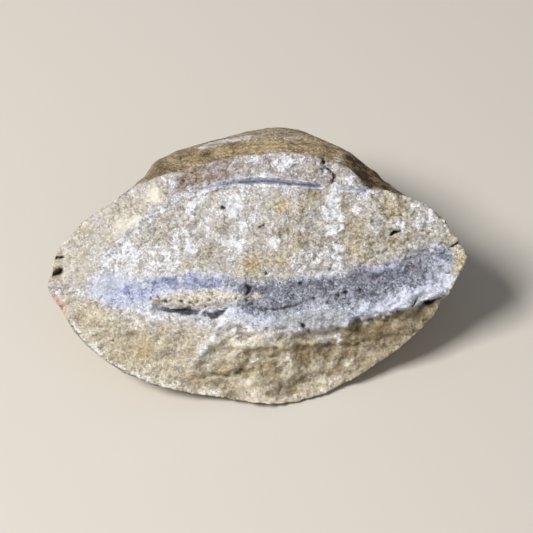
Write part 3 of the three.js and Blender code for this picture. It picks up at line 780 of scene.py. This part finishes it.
def smooth_shell(s, t):
    """A meridian runs from each point of the rim (t = 0) over the girth to the back pole (t = 1)."""
    u, v = rim_at(s)
    across = unit(np.stack([u * RIM_ASPECT, v], axis=1))
    outward = np.outer(across[:, 0], RIGHT) + np.outer(across[:, 1], FACE_UP)
    under = np.maximum(0, -across[:, 1:])
    swell = along_eased(SWELL, np.degrees(np.arctan2(v, u)))[:, None]
    rearward = unit(mix(INWARD, BACK, under))
    form = break_form(u, v, 1)
    start = on_face(u, v, form + break_relief(u, v))
    girth = on_face(u, v, form) + SWELL_DEPTH * rearward + swell * outward + GIRTH_SINK * under * DOWN
    leaving = start + RIM_HANDLE * rearward + 0.6 * swell * outward
    before, after = GIRTH_HANDLES
    reaching = girth - before * rearward
    parting = girth + (after + FOOT_HANDLE * under) * rearward + under * DOWN
    closing = BACK_POLE + across[:, :1] * (POLE_WIDTH, 0, 0) + across[:, 1:] * (0, 0, POLE_HEIGHT)
    t = t[:, None]
    front = bezier(start, leaving, reaching, girth, t / GIRTH_SHARE)
    back = bezier(girth, parting, closing, BACK_POLE, (t - GIRTH_SHARE) / (1 - GIRTH_SHARE))
    return np.where(t < GIRTH_SHARE, front, back)


def growth_steps(growth):
    return GROWTH_HEIGHT * np.cos(growth * 2 * np.pi / GROWTH_PITCH)


def dents(p):
    x, y, z = (p / DENT_SIZE).T
    return DENT_DEPTH * lumps(x, y, z + 20)


def shell_relief(p):
    """The part's growth steps, seam, beaks and dents, and how far each point is from the beak and above the
    seam."""
    x, y, z = p.T
    side = z - (SEAM_HEIGHT - SEAM_FALL * (y - FACE_CENTRE[1]) - SEAM_BEND * x * x)
    to_upper = np.linalg.norm(p - UPPER_BEAK, axis=1)
    to_lower = np.linalg.norm(p - LOWER_BEAK, axis=1)
    growth = np.where(side > 0, to_upper, to_lower) + 1.2 * lumps(*(p / 9).T)
    out = growth_steps(growth) * rise(np.abs(side), 0, 3) - SEAM_DEPTH * gauss(side / SEAM_HALF_WIDTH)
    out += UPPER_BEAK_HEIGHT * gauss(to_upper / BEAK_SIZE) + LOWER_BEAK_HEIGHT * gauss(to_lower / BEAK_SIZE)
    return out + dents(p), growth, side


def paint_shell(p, growth, side, behind):
    """The fine relief of the shell in mm, and its markings. behind is how far behind the rim, 0 to 1."""
    u, v = p[:, 0], (p - FACE_CENTRE) @ FACE_UP
    drift = growth + 0.5 * fractal(p, 5, 2, 11)
    lines = lumps(drift / 0.9, u / 16, side / 30 + 3) + 0.6 * lumps(drift / 0.42, u / 9, 8.5)
    rough = fractal(p, 1.6, 3, 13)
    broad = fractal(p, 6, 3, 14)
    flake = rise(fractal(p, 7, 3, 15) + 0.25 * rough, 0.22, 0.3)
    pores = rise(fractal(p, 1, 2, 16), 0.5, 0.75)
    dome = rise(v, 14, 17) * rise(side, -2, 2)
    w = 0.09 * lines + grain(cells(p, 0.8, 12), 0.05, 0.04, 0.08) + 0.08 * rough + 0.06 * broad
    w -= 0.8 * dome * (growth_steps(growth) + dents(p))  # the dome is smoother than the rest
    w -= 0.4 * dome * gauss((u - DOME_DIP) / 1.6) + 0.14 * flake + 0.16 * pores

    depth = (p - FACE_CENTRE) @ INWARD + 2 * broad + 2 * rough
    # dark patches, with painted shade on the dome's right end
    dark = dome * blots(DOME_DARK_SPOTS, u, v) * fall(depth, 5, 14)
    dome_front = dome * fall(depth, 7, 11.5)
    # a painted highlight along the dome's top edge; it goes into the pale spots and into the frosting, cream
    # and white chip markings
    painted_highlight = dome_front * streak(DOME_STREAK, 0.7, u + 0.3 * rough, v + 0.3 * rough)
    pale = np.maximum(dome_front * blots(DOME_PALE_SPOTS, u, v), 1.2 * painted_highlight)
    ochre = dome * gauss((v - along(DOME_OCHRE, u)) / 1.5) * between(u, -12, 15, 4)
    # painted shade along the seam between the valves
    seam_shade = gauss((side + 0.4 * rough) / 1.1) * (0.6 + 0.5 * broad)
    return w, {
        "skin_and_shade": np.clip(dark, 0, 1),
        # the frosting, cream and white chip markings carry the painted highlight along the dome's top edge
        "frost_and_highlight": 0.12 + 0.2 * flake + 1.3 * painted_highlight + 0.3 * pale,
        "warm": np.clip(0.2 + 0.5 * broad + 0.8 * ochre, 0, 1.3),
        "cream": np.clip(0.3 * fractal(p, 9, 2, 17) + pale, 0, 1),
        "white_chip_and_highlight": 1.3 * painted_highlight,
        "shade": np.maximum(0.7 * pores, 0.6 * seam_shade),
        # darker where the fine relief lies low: painted shade in the hollows
        "hollow": np.clip(0.5 - 1.3 * w, 0, 1),
        "shell": rise(behind, 0, 0.006),
        "growth": np.clip(0.5 + 0.4 * lines, 0, 1),
    }


# ---- the mesh
def new_object(name, data):
    thing = bpy.data.objects.new(name, data)
    bpy.context.collection.objects.link(thing)
    return thing


def spread(counts, values):
    """For rings of the given counts: the place of each vertex round its ring, and its ring's value."""
    places = np.concatenate([np.arange(n) / n for n in counts])
    return places, np.repeat(values, counts)


def rim_wear(s):
    """How far the broken edge stands out of the smooth rim, in mm."""
    u, v = rim_at(s)
    p = in_plane(u, v)
    return 0.3 * fractal(p, 2.4, 3, 21) + 0.12 * fractal(p, 0.8, 2, 22) - blots(NOTCHES, u, v)


def break_points(s, share):
    ru, rv = rim_at(s)
    swell = share + rim_wear(s) * share**8 / np.hypot(ru, rv)
    u, v = ru * swell, rv * swell
    base = on_face(u, v, break_form(u, v, share) + break_relief(u, v))
    w, markings = paint_break(u, v, share, base)
    return base - np.outer(w, INWARD), markings


def shell_points(s, t):
    base = smooth_shell(s, t)
    step = 1e-3
    along_loop = smooth_shell(s + step, t) - base
    along_meridian = smooth_shell(s, t - step) - base
    away = unit(np.cross(along_loop, along_meridian))
    relief, growth, side = shell_relief(base)
    w, markings = paint_shell(base, growth, side, t)
    calm = 0.4 + 0.6 * rise(t, 0.15, 0.4)
    points = base + away * (relief * calm * rise(t, 0, 0.1) + w * rise(t, 0, 0.02))[:, None]
    edge, _ = break_points(s, np.ones_like(s))
    lip = edge - smooth_shell(s, np.zeros_like(s))
    points += lip * fall(t, 0, 0.03)[:, None]
    return points, markings


def zip_rings(a, b):
    """Fills the strip between two neighbouring rings of vertex numbers with triangles."""
    steps_a = len(a) if len(a) > 1 else 0
    steps_b = len(b) if len(b) > 1 else 0
    faces = []
    i = j = 0
    while i < steps_a or j < steps_b:
        pa, pb = a[i % len(a)], b[j % len(b)]
        if j >= steps_b or (i < steps_a and (i + 0.5) * steps_b <= (j + 0.5) * steps_a):
            i += 1
            faces.append((pa, pb, a[i % len(a)]))
        else:
            j += 1
            faces.append((pa, pb, b[j % len(b)]))
    return faces


def ring_counts(values, pitch):
    """How many vertices each ring of the shell needs for the pitch, which is the break's own at the rim."""
    probes = 72
    counts = []
    for t in values:
        ring = smooth_shell(np.arange(probes) / probes, np.full(probes, t))
        length = np.linalg.norm(ring - np.roll(ring, -1, axis=0), axis=1).sum()
        counts.append(max(6, round(length / mix(FACE_PITCH, pitch, rise(t, 0, 0.15)))))
    return counts


def build_fossil():
    shares = np.arange(1, FACE_RINGS + 1) / FACE_RINGS
    face_counts = [max(6, round(RIM_LENGTH[-1] * share / FACE_PITCH)) for share in shares]
    ts = (np.arange(1, SHELL_RINGS) / SHELL_RINGS) ** SHELL_CROWDING
    shell_counts = ring_counts(ts, SHELL_PITCH)
    parts = [
        break_points(np.zeros(1), np.full(1, CENTRE_SHARE)),
        break_points(*spread(face_counts, shares)),
        shell_points(*spread(shell_counts, ts)),
        shell_points(np.zeros(1), np.full(1, POLE_SHARE)),
    ]
    points = np.concatenate([part[0] for part in parts])
    points[:, 2] = np.maximum(points[:, 2], 0)
    numbers = np.split(np.arange(len(points)), np.cumsum([1] + face_counts + shell_counts))
    faces = []
    for a, b in zip(numbers, numbers[1:]):
        faces += zip_rings(a, b)
    mesh = bpy.data.meshes.new("fossil_stone")
    mesh.from_pydata((points * MM).tolist(), [], faces)
    mesh.shade_smooth()
    for name in sorted(parts[0][1].keys() | parts[-1][1].keys()):
        # a marking that only the break or only the shell has is 0 on the other
        values = np.concatenate([marks.get(name, np.zeros(len(place))) for place, marks in parts])
        mesh.attributes.new(name, "FLOAT", "POINT").data.foreach_set("value", values.astype(np.float32))
    return new_object("fossil_stone", mesh)


# ---- the material
def rgb(r, g, b):
    """A colour as seen on a screen, from 0 to 255, as the light that it stands for."""
    def linear(c):
        return c / 12.92 if c <= 0.04045 else ((c + 0.055) / 1.055) ** 2.4
    return (linear(r / 255), linear(g / 255), linear(b / 255), 1.0)


# Where a name stands for two colours, they are the dark one and the light one.
# The stone of the break
MATRIX = rgb(215, 208, 193)
MATRIX_DARK = rgb(158, 148, 128)
OLIVE = rgb(148, 132, 92)
CLEAR = rgb(124, 116, 102), rgb(178, 170, 156)
TAN = rgb(192, 174, 132), rgb(209, 199, 170)
AMBER = rgb(204, 166, 108)
CREAM = rgb(234, 226, 204)
# the brown stone of the hollows, darkened with painted shade
RECESS = rgb(102, 86, 52), rgb(154, 138, 98)
MAUVE = rgb(132, 118, 108), rgb(184, 172, 166)
DUSK = rgb(106, 84, 64), rgb(162, 140, 120)
PINK = rgb(202, 180, 166), CREAM
STAIN = rgb(206, 128, 126)
# the dark outer layer of the shell on the rim and the darkest parts of the band, also painted shade in a gap
# of the band
SKIN_AND_SHADE_GREY = rgb(124, 122, 136)
# Its band, and the line under the cap
ICE = rgb(204, 211, 232), rgb(228, 234, 252)
DIM_ICE = rgb(166, 168, 174)
AZURE = rgb(122, 132, 176), rgb(212, 217, 238)
SLATE = rgb(72, 75, 87), rgb(180, 182, 193)
STRIP_PALE = rgb(230, 234, 250)
STRIP_BLUE = rgb(146, 152, 182)
STRIP_DARK = rgb(92, 96, 118)
# Frosting, and the painted shade of hollows, cracks and pits
PALE = rgb(228, 229, 236)
WHITE = rgb(249, 251, 255)
CREAM_WHITE = rgb(242, 237, 222)
HOLLOW_SHADE = rgb(112, 98, 74)
DARK_SHADE = rgb(50, 44, 36)
DARK_SLATE = rgb(60, 62, 70)
# The shell
SHELL = rgb(202, 183, 150)
# the dark growth lines, and the painted shade in the shell's hollows
SHELL_DARK = rgb(104, 84, 56)
SHELL_GREY = rgb(192, 183, 172)
SHELL_OCHRE = rgb(204, 180, 138)
# also the colour of the painted highlight along the dome's top edge
SHELL_PALE = rgb(222, 210, 198)
# the dark patches of the shell, with painted shade on the dome's right end
SHELL_STAIN_AND_SHADE = rgb(26, 18, 8), rgb(160, 134, 90)


class Graph:
    """Short names for the nodes that the material is made of. Textures are in mm."""

    def __init__(self, material):
        material.use_nodes = True
        self.nodes = material.node_tree.nodes
        self.links = material.node_tree.links
        self.nodes.clear()
        place = self.node("TexCoord").outputs["Object"]
        self.place = self.node("VectorMath", {0: place, "Scale": 1 / MM}, operation="SCALE").outputs[0]

    def node(self, kind, inputs=None, **settings):
        """A node with the given settings; each input is linked to a socket or set to a value."""
        node = self.nodes.new("ShaderNode" + kind)
        for name, value in settings.items():
            setattr(node, name, value)
        for key, value in (inputs or {}).items():
            if isinstance(value, bpy.types.NodeSocket):
                self.links.new(value, node.inputs[key])
            else:
                node.inputs[key].default_value = value
        return node

    def mark(self, name):
        return self.node("Attribute", attribute_name=name).outputs["Fac"]

    def math(self, operation, *values):
        return self.node("Math", dict(enumerate(values)), operation=operation).outputs[0]

    def vector(self, operation, *values, output="Vector"):
        return self.node("VectorMath", dict(enumerate(values)), operation=operation).outputs[output]

    def times(self, a, b):
        return self.math("MULTIPLY", a, b)

    def plus(self, a, b):
        return self.math("ADD", a, b)

    def total(self, constant, *terms):
        """A constant plus each value times its weight."""
        for value, weight in terms:
            constant = self.math("MULTIPLY_ADD", value, weight, constant)
        return constant

    def ramp(self, value, low, high):
        inputs = {"Value": value, "From Min": low, "From Max": high}
        return self.node("MapRange", inputs, interpolation_type="SMOOTHSTEP").outputs["Result"]

    def noise(self, size, detail, roughness, stretch=(1, 1, 1), shift=0):
        mapping = {"Vector": self.place, "Scale": [k / size for k in stretch], "Location": (shift,) * 3}
        place = self.node("Mapping", mapping).outputs[0]
        inputs = {"Vector": place, "Scale": 1, "Detail": detail, "Roughness": roughness}
        return self.node("TexNoise", inputs).outputs["Fac"]

    def crystals(self, size, shift):
        """Angular crystals: three random numbers for each, and the height of its slanting face in mm."""
        warp = self.node("TexNoise", {"Vector": self.place, "Scale": 1.1 / size, "Detail": 2})
        pushed = self.vector("MULTIPLY_ADD", warp.outputs["Color"], (0.9 * size,) * 3, self.place)
        moved = self.vector("ADD", pushed, (shift,) * 3)
        cell = self.node("TexVoronoi", {"Vector": moved, "Scale": 1 / size}).outputs
        offset = self.vector("SUBTRACT", moved, cell["Position"])
        slant = self.vector("SUBTRACT", cell["Color"], (0.5, 0.5, 0.5))
        face = self.vector("DOT_PRODUCT", offset, slant, output="Value")
        return *self.node("SeparateColor", {0: cell["Color"]}).outputs, face

    def blend(self, share, a, b, kind="MIX"):
        inputs = {"Factor": share, "A": a, "B": b}
        return self.node("Mix", inputs, data_type="RGBA", blend_type=kind).outputs["Result"]

    def cover(self, base, *layers):
        """The base colour under further layers: where each shows, how strongly, and its colour."""
        for where, strength, tone in layers:
            base = self.blend(self.times(where, strength), base, tone)
        return base


class Stone(Graph):
    """The noises and crystals of the fossil, and its markings with their edges broken up along them."""

    def __init__(self, material):
        super().__init__(material)
        self.cloud = self.noise(8, 4, 0.55, shift=14)
        self.clump = self.noise(2.8, 6, 0.62)
        self.patchy = self.noise(1.5, 4, 0.55, shift=9)
        self.speck = self.noise(0.9, 5, 0.7, shift=4)
        self.big_a, self.big_b, self.big_c, self.big_face = self.crystals(1.1, 3)
        self.small_a, self.small_b, self.small_c, self.small_face = self.crystals(0.32, 11)
        self.ragged = self.total(-0.98, (self.clump, 0.5), (self.speck, 0.7), (self.big_a, 0.26),
                                 (self.small_b, 0.5))

        # white frosting: whole crystals of it, in clumps, over a thinner veil; on the shell it also holds
        # the painted highlight along the dome's top edge
        flecks = self.total(-1.86, (self.mark("frost_and_highlight"), 0.75), (self.clump, 1), (self.patchy, 1.2),
                            (self.speck, 0.5), (self.cloud, 0.6), (self.big_c, 0.18), (self.small_a, 0.2))
        self.veil = self.ramp(flecks, -0.25, 0.75)
        self.frost_and_highlight = self.ramp(flecks, 0.46, 0.56)
        self.white_chip_and_highlight = self.zone("white_chip_and_highlight", 0.4, 0.55)
        self.cream_chip = self.zone("cream_chip", 0.4, 0.55)

    def zone(self, name, low, high):
        """Where a marking shows."""
        return self.ramp(self.plus(self.mark(name), self.ragged), low, high)

    def specked(self, pair, low=0.4, high=0.6):
        return self.blend(self.ramp(self.speck, low, high), *pair)

    def mottled(self, pair, low, high, constant, *terms):
        """From the first colour to the second as the total of the terms goes from low to high."""
        return self.blend(self.ramp(self.total(constant, *terms), low, high), *pair)


def ground_colour(g):
    """The stone of the break, but for its band."""
    coarse = g.times(g.total(-0.5, (g.clump, 0.5), (g.patchy, 0.5)), g.mark("coarse"))
    dark = g.blend(g.mark("warm"), MATRIX_DARK, OLIVE)
    hue = g.noise(3.6, 5, 0.6, shift=21)
    warm = g.total(-0.9, (g.mark("warm"), 0.9), (hue, 1.5), (g.small_b, 0.25))
    return g.cover(
        g.mottled((dark, MATRIX), 0.15, 0.95, -0.9, (g.clump, 1.1), (g.speck, 1.1), (g.cloud, 0.4),
                  (g.small_c, 0.5), (g.big_b, 0.2), (coarse, 2.5)),
        (g.zone("clear", 0.2, 0.9), 0.75, g.specked(CLEAR)),
        (g.ramp(warm, 0, 0.8), 0.8, g.specked(TAN, 0.4, 0.62)),
        (g.zone("warm", 0.75, 1.3), 0.4, AMBER),
        (g.zone("cream", 0.3, 0.8), 0.75, CREAM),
        # the hollows: brown stone with painted shade
        (g.mark("recess"), 0.75, g.blend(g.ramp(g.clump, 0.4, 0.6), *RECESS)),
        (g.zone("mauve", 0.2, 0.9), 0.75, g.specked(MAUVE, 0.42, 0.54)),
        (g.zone("dusk", -0.2, 0.5), 0.92, g.specked(DUSK)),
    )


def banded(g, ground):
    """The ground with the blue-grey band, the line under the cap and the pink of the rim on it."""
    ice = g.mottled(ICE, 0.2, 0.5, -0.3, (g.clump, 1), (g.small_c, 0.3))
    ice = g.cover(ice, (g.zone("dim", 0.2, 0.8), 0.9, DIM_ICE))
    not_warm = g.total(1, (g.ramp(g.mark("warm"), 0.1, 0.5), -1))
    tinted = g.math("MAXIMUM", g.ramp(g.mark("blue"), 0, 0.2), not_warm)
    slate = g.mottled(SLATE, 0, 0.95, -0.72, (g.clump, 0.9), (g.speck, 0.9), (g.small_c, 0.6))
    azure = g.mottled(AZURE, 0.3, 0.8, -0.5, (g.clump, 0.9), (g.speck, 0.8), (g.small_c, 0.4))
    strip = g.blend(g.ramp(g.plus(g.mark("strip"), g.times(g.speck, 0.4)), 0.4, 0.8), STRIP_PALE, STRIP_BLUE)
    return g.cover(
        ground,
        (g.times(g.zone("blue", 0, 0.8), tinted), 0.92, ice),
        (g.zone("slate", 0.15, 0.85), 0.95, slate),
        (g.zone("azure", 0.15, 0.85), 0.95, azure),
        (g.ramp(g.mark("strip"), 0, 0.4), 0.9, g.blend(g.ramp(g.mark("strip"), 0.65, 1), strip, STRIP_DARK)),
        (g.zone("pink", 0.3, 0.7), 0.85, g.specked(PINK)),
        (g.mark("stain"), 0.7, STAIN),
    )


def frosted(g, ground):
    """The ground under white frosting and chips, with the dark outer layer of the shell and painted shade on
    it, and painted shade between its crystals and in its hollows.
    """
    yellowed = g.ramp(g.mark("warm"), 0.2, 0.8)
    white = g.blend(g.small_c, PALE, WHITE)
    # painted shade: dark specks between the crystals, more in the hollows of the fine relief
    pits = g.total(-0.2, (g.clump, -0.6), (g.speck, -0.7), (g.small_b, 0.66), (g.mark("hollow"), 0.5))
    return g.cover(
        ground,
        (g.veil, 0.42, g.blend(yellowed, PALE, CREAM_WHITE)),
        (g.frost_and_highlight, 0.8, g.blend(yellowed, white, CREAM_WHITE)),
        (g.white_chip_and_highlight, 0.9, white),
        (g.cream_chip, 0.7, g.blend(g.small_c, CREAM, CREAM_WHITE)),
        # the dark outer layer of the shell, with painted shade in a gap of the band
        (g.zone("skin_and_shade", 0.35, 0.95), 0.75, SKIN_AND_SHADE_GREY),
        (g.ramp(pits, 0.1, 0.2), g.total(0.42, (g.frost_and_highlight, -0.3), (g.mark("soft"), -0.1)), HOLLOW_SHADE),
    )


def shell_colour(g):
    lines = g.noise(1.1, 3, 0.6, stretch=(0.25, 1, 1), shift=30)
    ochre = g.total(-0.5, (g.mark("warm"), 1), (g.clump, 1))
    stain_and_shade = g.mottled(SHELL_STAIN_AND_SHADE, 0.44, 0.62, -0.5, (g.clump, 1.1), (g.speck, 0.9))
    lined = g.total(-0.45, (g.mark("growth"), 0.7), (g.speck, 0.7), (g.small_c, 0.5))
    return g.cover(
        g.blend(g.ramp(lined, -0.1, 0.8), SHELL_DARK, SHELL),
        (g.ramp(g.cloud, 0.5, 0.7), 0.35, SHELL_GREY),
        (g.ramp(ochre, 0.3, 0.8), 0.55, SHELL_OCHRE),
        (g.ramp(lines, 0.58, 0.7), 0.3, SHELL_GREY),
        # pale spots, frosting and white, with the painted highlight along the dome's top edge
        (g.zone("cream", 0.3, 0.8), 0.5, SHELL_PALE),
        (g.frost_and_highlight, 0.65, SHELL_PALE),
        (g.white_chip_and_highlight, 0.85, g.blend(g.small_c, SHELL_PALE, WHITE)),
        # dark patches, with painted shade on the dome's right end
        (g.zone("skin_and_shade", 0.1, 0.8), 0.85, stain_and_shade),
    )


def make_stone():
    material = bpy.data.materials.new("fossil_stone")
    g = Stone(material)
    shell = g.mark("shell")
    surface = g.blend(shell, frosted(g, banded(g, ground_colour(g))), shell_colour(g))
    # painted shade: darker in the hollows of the fine relief, and dark in the cracks, pits and pores and
    # along the shell's seam
    shade = g.total(0, (g.mark("shade"), 1), (g.ragged, 0.35))
    surface = g.cover(
        surface,
        (g.ramp(g.mark("hollow"), 0.6, 1), 0.5, g.blend(shell, HOLLOW_SHADE, SHELL_DARK)),
        (g.ramp(shade, 0.2, 0.7), 0.85, g.blend(g.zone("blue", 0.1, 0.7), DARK_SHADE, DARK_SLATE)),
    )

    # each crystal has a brightness and a slant of its own, less where the surface is soft or frosted
    chip = g.math("MAXIMUM", g.white_chip_and_highlight, g.cream_chip)
    crisp = g.total(1.05, (g.mark("soft"), -0.5), (g.frost_and_highlight, -0.2), (chip, -0.3), (shell, 0.4))
    value = g.total(0.94, (g.big_b, 0.12), (g.times(g.total(-0.5, (g.small_a, 1)), crisp), 0.32))
    tint = g.node("CombineColor", dict.fromkeys(("Red", "Green", "Blue"), value)).outputs[0]
    height = g.total(0, (g.big_face, 0.4), (g.times(g.small_face, crisp), 0.65),
                     (g.times(g.speck, crisp), 0.12), (g.frost_and_highlight, 0.06))
    bump = g.node("Bump", {"Strength": 1, "Distance": MM, "Height": height})
    shader = g.node("BsdfPrincipled", {
        "Base Color": g.blend(1, surface, tint, "MULTIPLY"),
        "Roughness": g.total(0.5, (g.small_b, 0.4)),
        "Specular IOR Level": 0.12,
        "Normal": bump.outputs[0],
    })
    g.node("OutputMaterial", {"Surface": shader.outputs[0]})
    return material


# ---- floor, light and camera
PIXELS = 533
PIXELS_PER_MM = 5.175
FACE_PIXEL = (258, 275)  # where the centre of the break is seen
VIEW_DISTANCE = 400  # mm
SENSOR = 36  # mm
FLOOR_HALF = 3.0  # metres, as in all that follows
FLOOR_COLOUR = rgb(214, 208, 198)
LIT_POINT = Vector((0, 0, 0.015))
LIGHTS = [
    # name, the direction it stands in, distance, size, watts, colour
    ("key", (-0.54, -0.3, 0.79), 0.9, 0.3, 9, (1, 0.99, 0.975)),
    ("fill", (0.5, -0.6, 0.8), 1.2, 1.2, 1.1, (0.97, 0.98, 1)),
]
SKY_COLOUR = (0.93, 0.96, 1, 1)
SKY_STRENGTH = 0.18


def add_floor():
    mesh = bpy.data.meshes.new("floor")
    corners = [(x * FLOOR_HALF, y * FLOOR_HALF, 0) for x, y in ((-1, -1), (1, -1), (1, 1), (-1, 1))]
    mesh.from_pydata(corners, [], [(0, 1, 2, 3)])
    material = bpy.data.materials.new("floor")
    material.use_nodes = True
    shader = material.node_tree.nodes["Principled BSDF"]
    shader.inputs["Base Color"].default_value = FLOOR_COLOUR
    shader.inputs["Roughness"].default_value = 0.9
    shader.inputs["Specular IOR Level"].default_value = 0.2
    mesh.materials.append(material)
    new_object("floor", mesh)


def add_light(name, direction, distance, size, watts, tone):
    light = bpy.data.lights.new(name, "AREA")
    light.size = size
    light.energy = watts
    light.color = tone
    lamp = new_object(name, light)
    lamp.location = LIT_POINT + Vector(direction).normalized() * distance
    lamp.rotation_euler = (LIT_POINT - lamp.location).to_track_quat("-Z", "Y").to_euler()


def add_camera():
    """The camera looks straight at the break, with its centre where FACE_PIXEL says."""
    middle = PIXELS / 2
    u = (middle - FACE_PIXEL[0]) / PIXELS_PER_MM
    v = (FACE_PIXEL[1] - middle) / PIXELS_PER_MM
    target = Vector(on_face([u], [v], [0])[0] * MM)
    outward = Vector(-INWARD)
    camera = new_object("camera", bpy.data.cameras.new("camera"))
    camera.data.sensor_width = SENSOR
    camera.data.lens = SENSOR * VIEW_DISTANCE * PIXELS_PER_MM / PIXELS
    camera.data.clip_start = 0.01
    camera.location = target + outward * VIEW_DISTANCE * MM
    camera.rotation_euler = (-outward).to_track_quat("-Z", "Y").to_euler()
    bpy.context.scene.camera = camera


def add_sky():
    world = bpy.data.worlds.new("studio")
    world.use_nodes = True
    background = world.node_tree.nodes["Background"]
    background.inputs["Color"].default_value = SKY_COLOUR
    background.inputs["Strength"].default_value = SKY_STRENGTH
    bpy.context.scene.world = world
    bpy.context.scene.view_settings.view_transform = "Standard"


add_camera()
add_floor()
for light in LIGHTS:
    add_light(*light)
add_sky()
fossil = build_fossil()
fossil.data.materials.append(make_stone())
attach(fossil, "root")
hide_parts(NODE)
